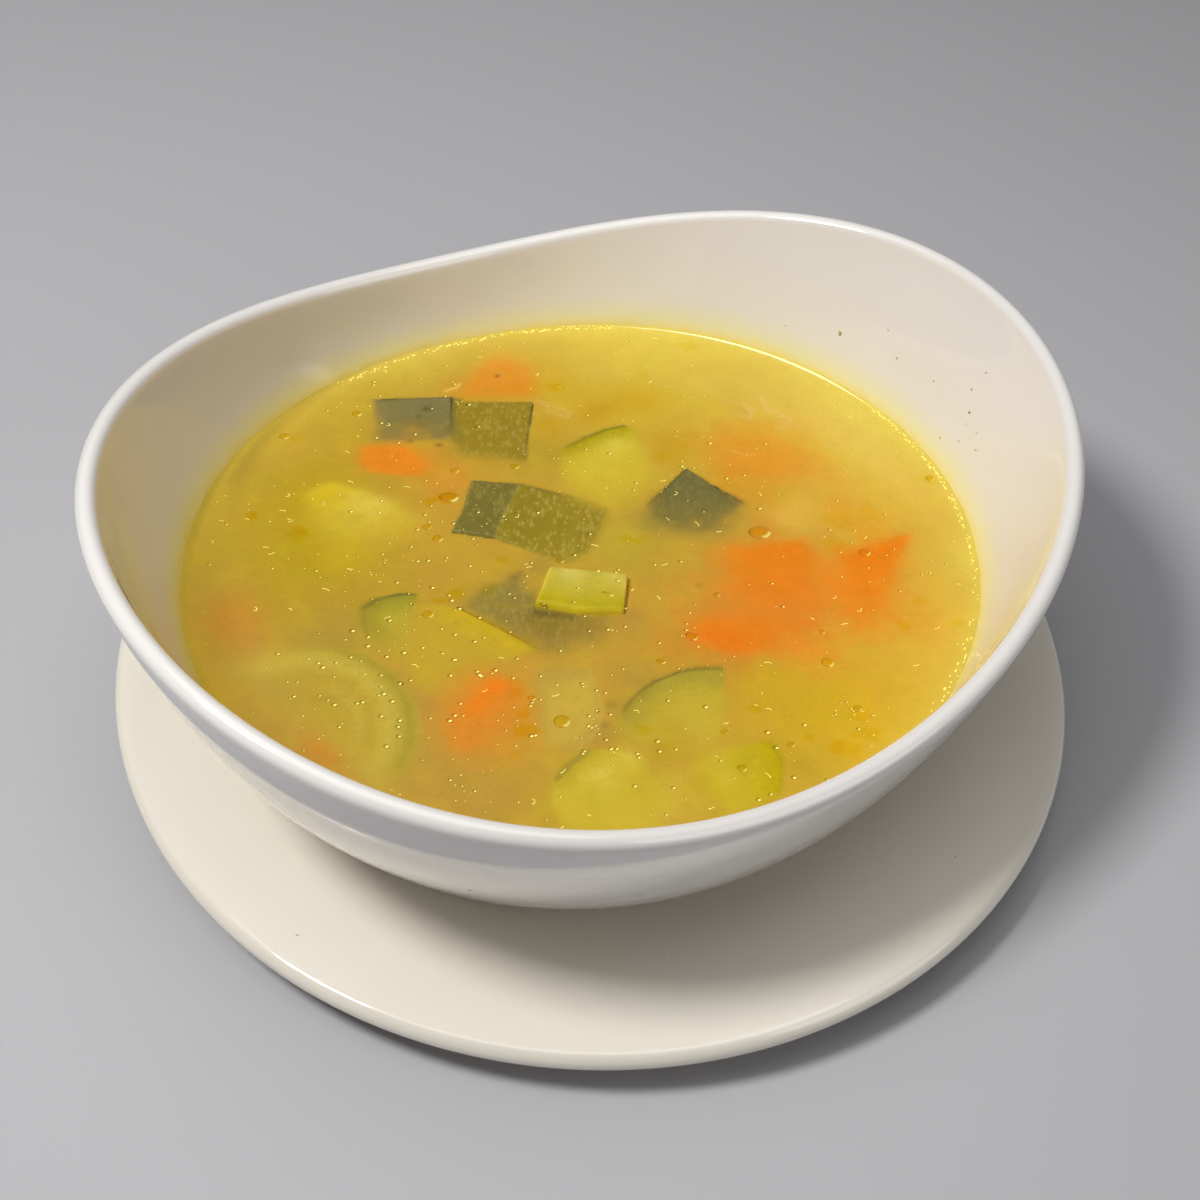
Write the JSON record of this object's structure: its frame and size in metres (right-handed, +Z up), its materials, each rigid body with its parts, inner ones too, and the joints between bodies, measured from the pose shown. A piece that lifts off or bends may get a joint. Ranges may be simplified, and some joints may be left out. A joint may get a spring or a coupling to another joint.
{
  "type": "bowl of vegetable soup",
  "caption": "Oval white bowl with a swept rim on a round plate, filled with clear yellow broth in which courgette, carrot and onion pieces float.",
  "frame": {"origin": "on the table, under the centre of the plate", "axes": "+Z up, +Y to the back as the picture shows it, +X to the right"},
  "size_m": [0.242, 0.2416, 0.0876],
  "materials": {
    "plate_glaze": "gloss",
    "bowl_glaze": "gloss",
    "broth": "gloss",
    "courgette_skin": "satin",
    "courgette_flesh": "satin",
    "onion": "satin",
    "carrot": "satin"
  },
  "bodies": {
    "root": {"plate": "plate_glaze", "bowl": "bowl_glaze", "broth": "broth", "courgette_skin_back_left": "courgette_skin", "courgette_skin_back_right": "courgette_skin", "courgette_skin_middle": "courgette_skin", "courgette_skin_right": "courgette_skin", "courgette_wedge_back": "courgette_flesh", "courgette_stick": "courgette_flesh", "courgette_chunk_left": "courgette_flesh", "courgette_strip_left": "courgette_flesh", "courgette_half_slice": "courgette_flesh", "courgette_wedge_front": "courgette_flesh", "courgette_slice_front_left": "courgette_flesh", "courgette_slice_front_right": "courgette_flesh", "onion_front": "onion", "carrot_back": "carrot", "carrot_front": "carrot", "carrot_right_back": "carrot", "carrot_right_side": "carrot", "carrot_right_front": "carrot"}
  },
  "joints": []
}
